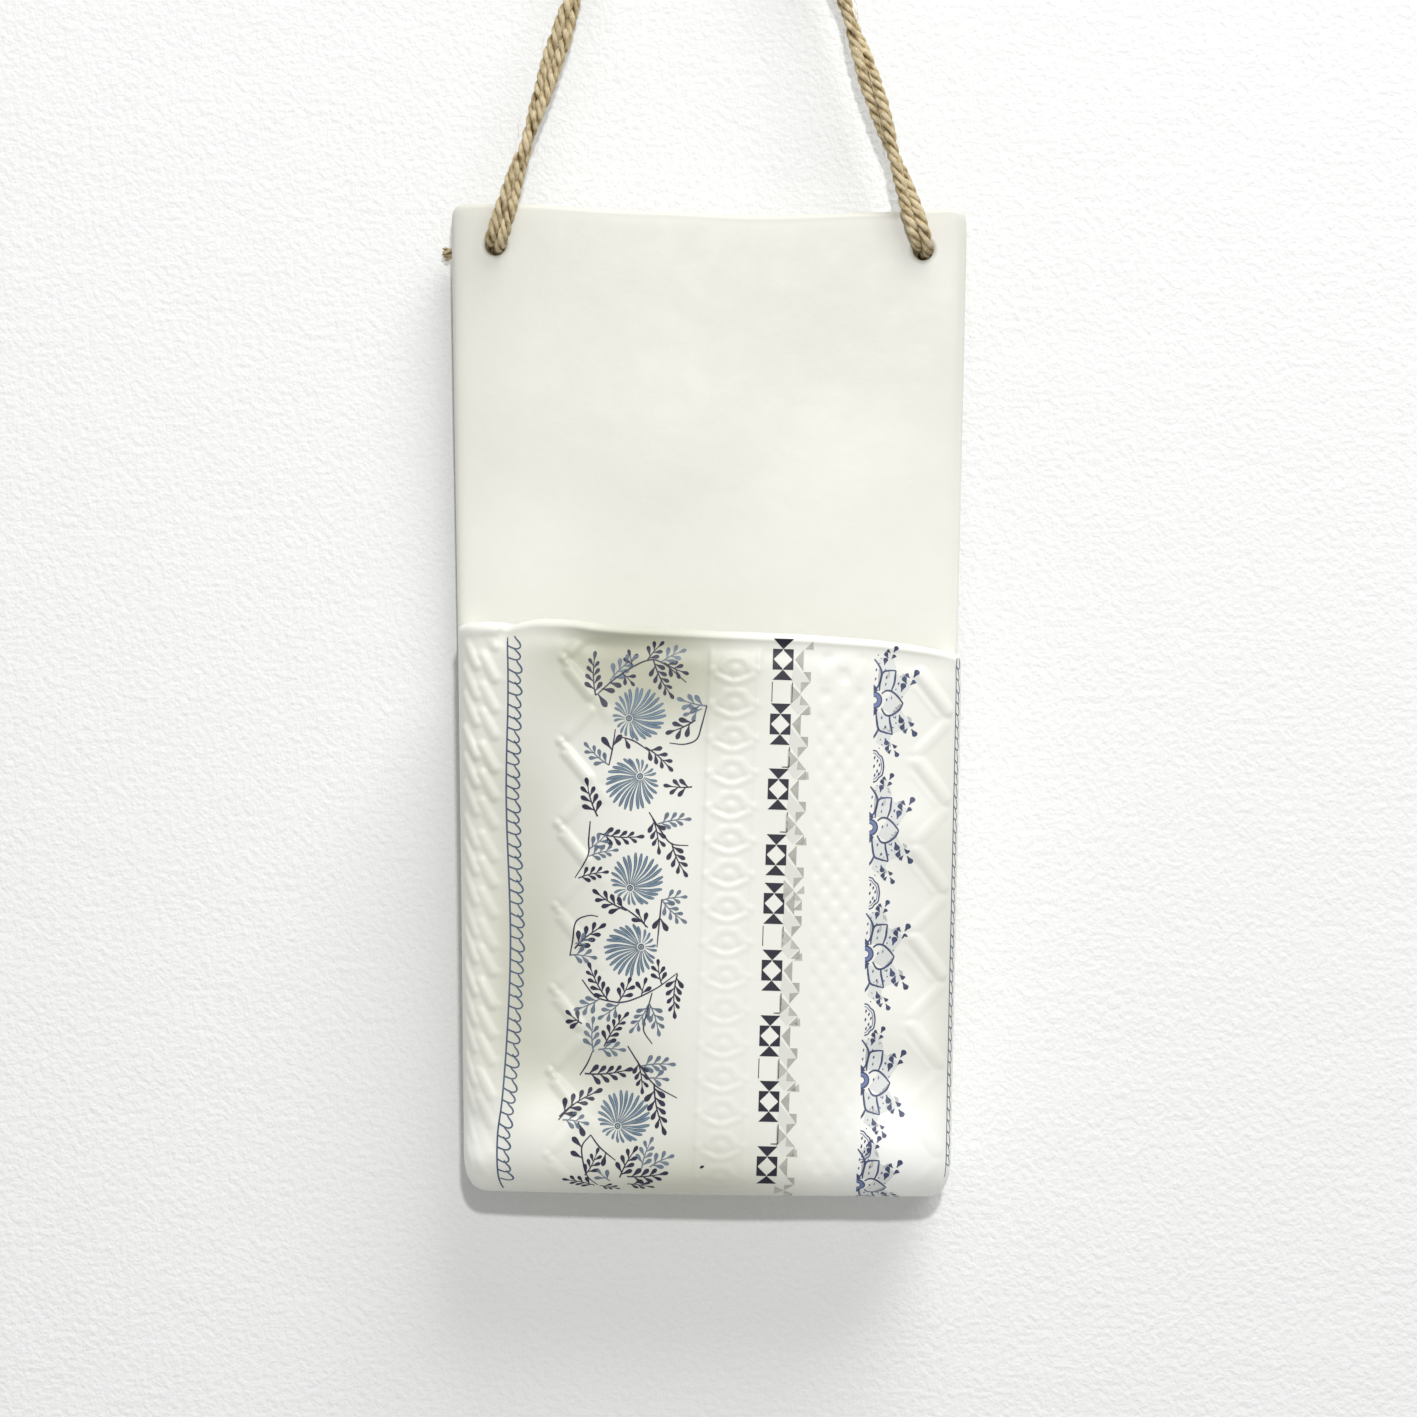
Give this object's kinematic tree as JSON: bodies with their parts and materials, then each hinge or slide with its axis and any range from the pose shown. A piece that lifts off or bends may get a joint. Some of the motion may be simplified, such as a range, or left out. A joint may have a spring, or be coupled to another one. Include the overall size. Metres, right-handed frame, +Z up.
{
  "type": "hanging wall vase",
  "caption": "Flat white porcelain wall vase with a draped, embossed and printed front pocket, hung by a jute rope through two holes from a small wall hook.",
  "frame": {"origin": "on the hook's axis, in the plane of the wall, at the back of the hook's collar", "axes": "+Z up, +Y into the wall along the hook's shank, +X to the right seen from the front; the front faces -Y"},
  "size_m": [0.1321, 0.0663, 0.4038],
  "materials": {
    "plain_porcelain": "satin white porcelain, hand rolled",
    "printed_porcelain": "satin white porcelain, embossed, with blue and slate printed bands",
    "jute": "matt twisted jute",
    "hook_brass": "satin brass wire"
  },
  "bodies": {
    "hook": {"wall_hook": "hook_brass"},
    "vase": {"back_slab": "plain_porcelain", "front_pocket": "printed_porcelain", "hanging_rope": "jute", "left_knot": "jute", "right_knot": "jute", "left_tail": "jute", "right_tail": "jute"}
  },
  "joints": [
    {"name": "sway", "type": "hinge", "parent": "hook", "child": "vase", "pos_m": [0, -0.008, 0], "axis": [0, 1, 0], "range_deg": [-20, 20]}
  ]
}
